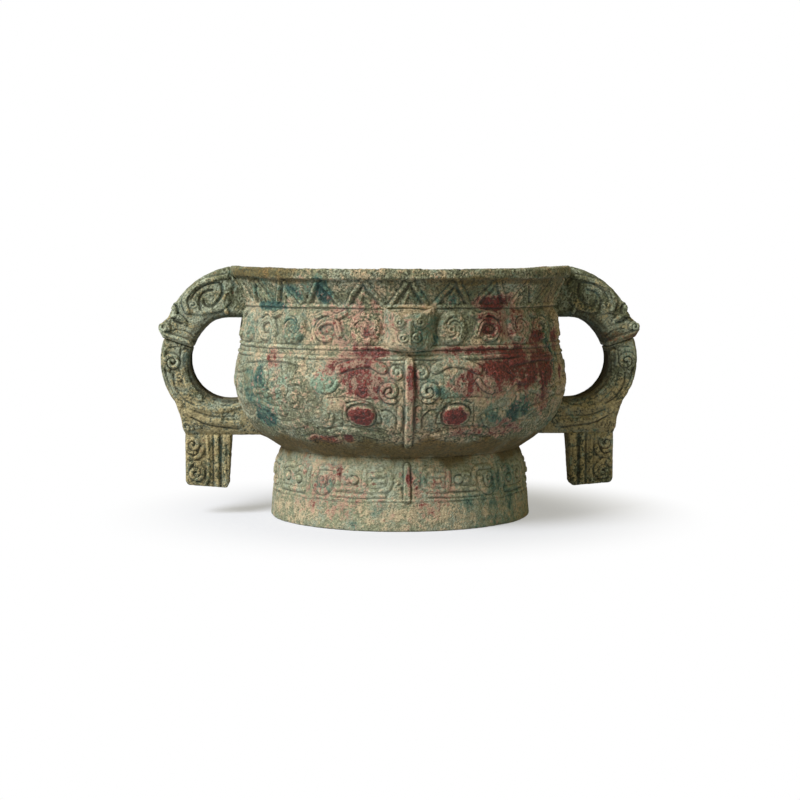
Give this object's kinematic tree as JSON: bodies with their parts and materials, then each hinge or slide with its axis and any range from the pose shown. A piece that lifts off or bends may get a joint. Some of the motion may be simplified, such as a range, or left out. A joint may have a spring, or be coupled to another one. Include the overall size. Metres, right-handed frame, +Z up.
{
  "type": "bronze gui vessel",
  "caption": "Round bronze food vessel on a ring foot, with beast-headed loop handles, hanging pendants and mask relief.",
  "frame": {"origin": "centre of the ring foot's base, on the surface that the vessel stands on", "axes": "+Z up through the bowl, -Y towards the front mask, +X and -X through the two handles"},
  "size_m": [0.3012, 0.2164, 0.1558],
  "materials": {
    "body_bronze": "buried bronze with pale green, buff and maroon patina, matt",
    "foot_bronze": "buried bronze with pale grey-green and tan crust, matt",
    "handle_bronze": "buried bronze with olive green patina, matt",
    "chaplet_bronze": "brown bronze, matt",
    "core_clay": "fired casting clay, rough and matt"
  },
  "bodies": {
    "root": {"bowl": "body_bronze", "ring_foot": "foot_bronze", "floor_chaplet_1": "chaplet_bronze", "floor_chaplet_2": "chaplet_bronze", "floor_chaplet_3": "chaplet_bronze", "floor_chaplet_4": "chaplet_bronze", "front_beast_head": "body_bronze", "rear_beast_head": "body_bronze", "right_handle_head": "handle_bronze", "right_handle_loop": "handle_bronze", "right_handle_core": "core_clay", "right_pendant": "handle_bronze", "left_handle_head": "handle_bronze", "left_handle_loop": "handle_bronze", "left_handle_core": "core_clay", "left_pendant": "handle_bronze"}
  },
  "joints": []
}
